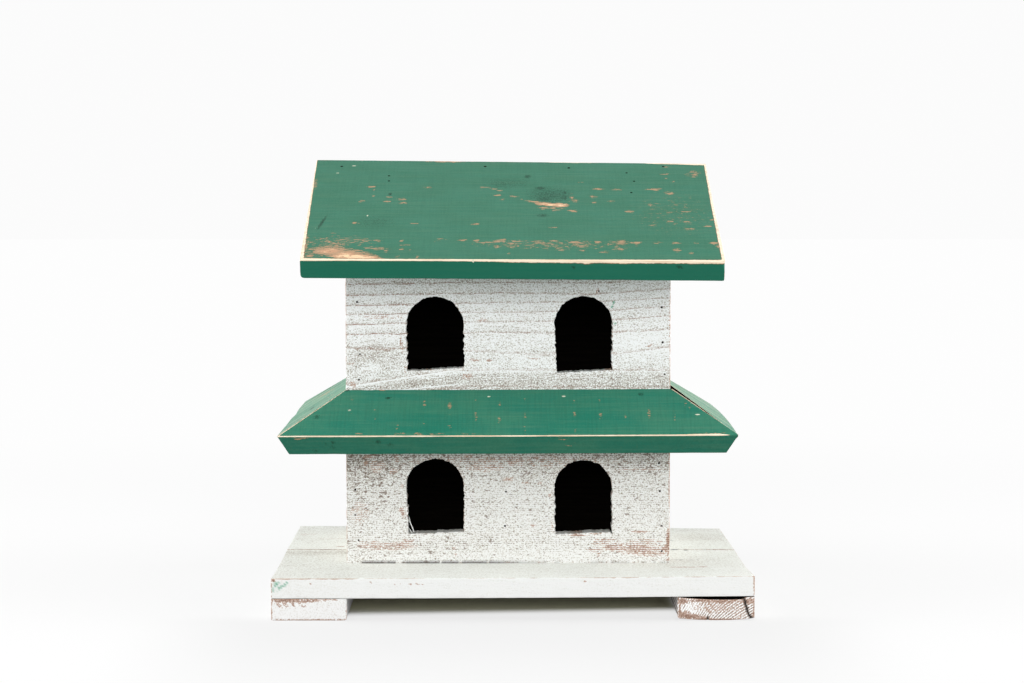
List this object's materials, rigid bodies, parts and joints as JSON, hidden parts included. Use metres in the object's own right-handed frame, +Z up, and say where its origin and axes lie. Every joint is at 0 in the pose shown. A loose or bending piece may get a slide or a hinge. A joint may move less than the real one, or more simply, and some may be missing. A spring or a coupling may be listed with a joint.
{
  "type": "purple martin birdhouse",
  "caption": "Two-storey wooden martin house with arched entrances, a gable roof, a mitred skirt roof between the storeys and a wide base on runners.",
  "frame": {"origin": "on the ground, under the middle of the roof and of the base's width", "axes": "+Z up, +Y to the back of the house, +X to the right as seen from the entrances"},
  "size_m": [0.4384, 0.4166, 0.4174],
  "materials": {
    "white_wall_boards": "worn white paint over brown wood, matt",
    "white_base_boards": "worn white paint over brown wood, matt",
    "green_roof_boards": "green paint sanded to pale wood at the edges, matt",
    "green_skirt_boards": "green paint sanded to pale wood at the edges, matt",
    "bare_inner_boards": "unpainted wood, rough"
  },
  "bodies": {
    "root": {"foot_left": "white_base_boards", "foot_right": "white_base_boards", "base_board_front": "white_base_boards", "base_board_back": "white_base_boards", "front_wall_lower": "white_wall_boards", "front_wall_upper": "white_wall_boards", "back_wall_lower": "white_wall_boards", "back_wall_upper": "white_wall_boards", "side_wall_left_lower": "white_wall_boards", "side_wall_left_upper": "white_wall_boards", "side_wall_right_lower": "white_wall_boards", "side_wall_right_upper": "white_wall_boards", "upper_floor": "bare_inner_boards", "divider_lower": "bare_inner_boards", "divider_upper": "bare_inner_boards", "skirt_front": "green_skirt_boards", "skirt_back": "green_skirt_boards", "skirt_left": "green_skirt_boards", "skirt_right": "green_skirt_boards", "roof_slab_front": "green_roof_boards", "roof_slab_back": "green_roof_boards"}
  },
  "joints": []
}
